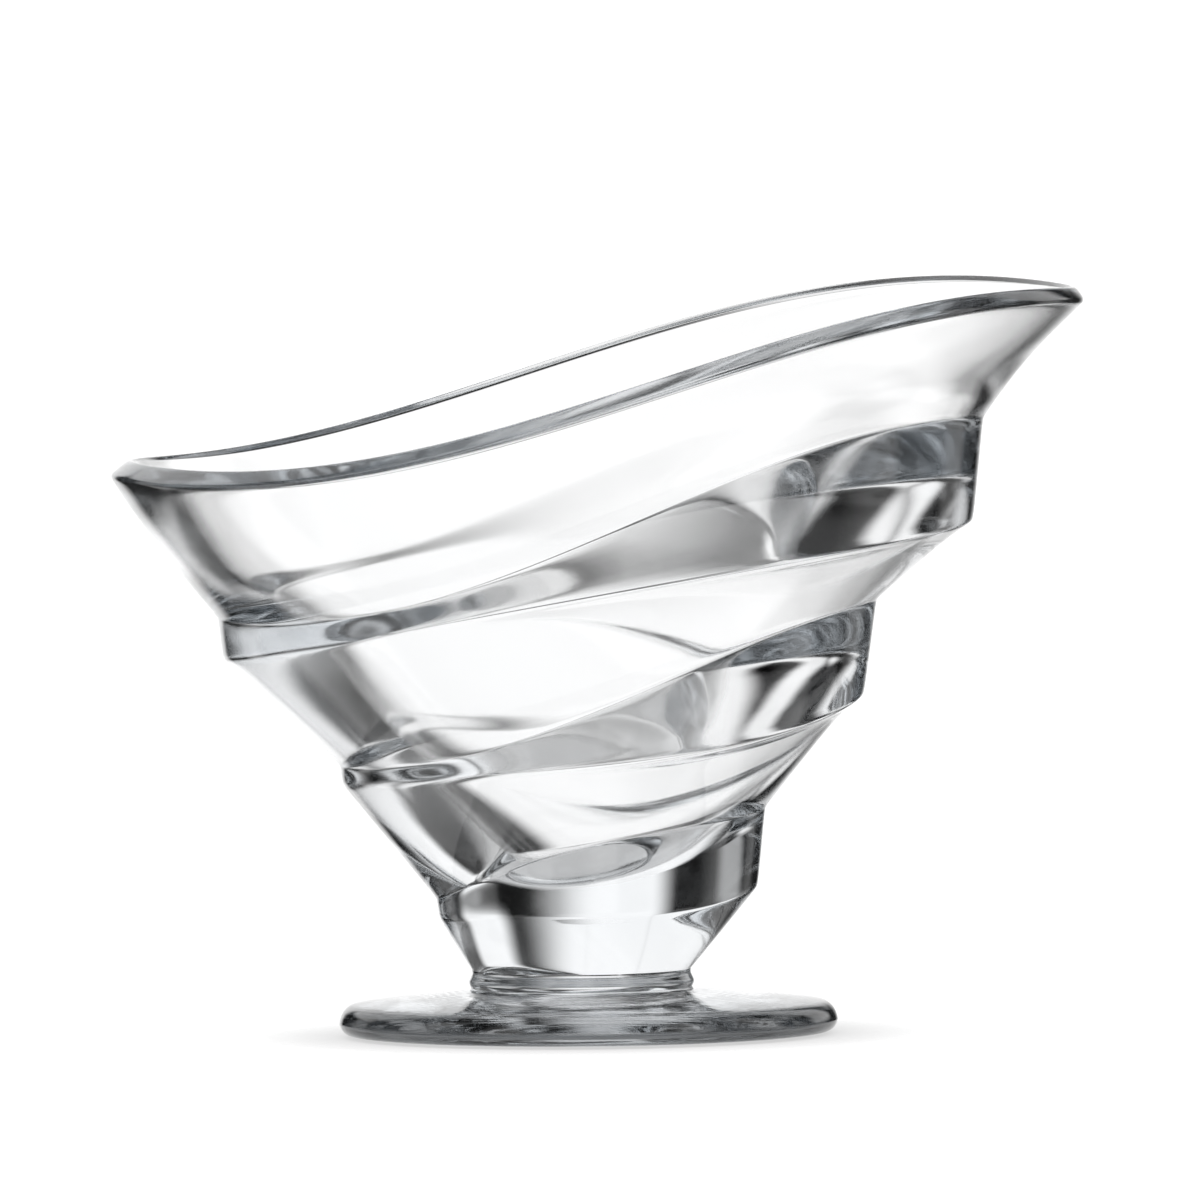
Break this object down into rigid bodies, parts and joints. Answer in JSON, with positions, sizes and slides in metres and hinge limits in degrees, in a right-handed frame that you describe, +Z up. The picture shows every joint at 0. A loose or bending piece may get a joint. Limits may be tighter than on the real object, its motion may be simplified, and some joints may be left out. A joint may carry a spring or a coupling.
{
  "type": "dessert coupe",
  "caption": "Clear glass dessert coupe: a wide bowl with wavy steps and a swept rim, on a joining collar and a round foot, for ice cream, fruit and other cold desserts.",
  "frame": {"origin": "on the table, below the middle of the mouth; the foot stands slightly off it towards the low lip", "axes": "+Z up, -X towards the low lip, +X towards the high lip; the XZ plane mirrors the part"},
  "size_m": [0.1465, 0.1462, 0.1122],
  "materials": {
    "clear_glass": "clear, fire polished"
  },
  "bodies": {
    "root": {"foot": "clear_glass", "collar": "clear_glass", "bowl": "clear_glass"}
  },
  "joints": []
}
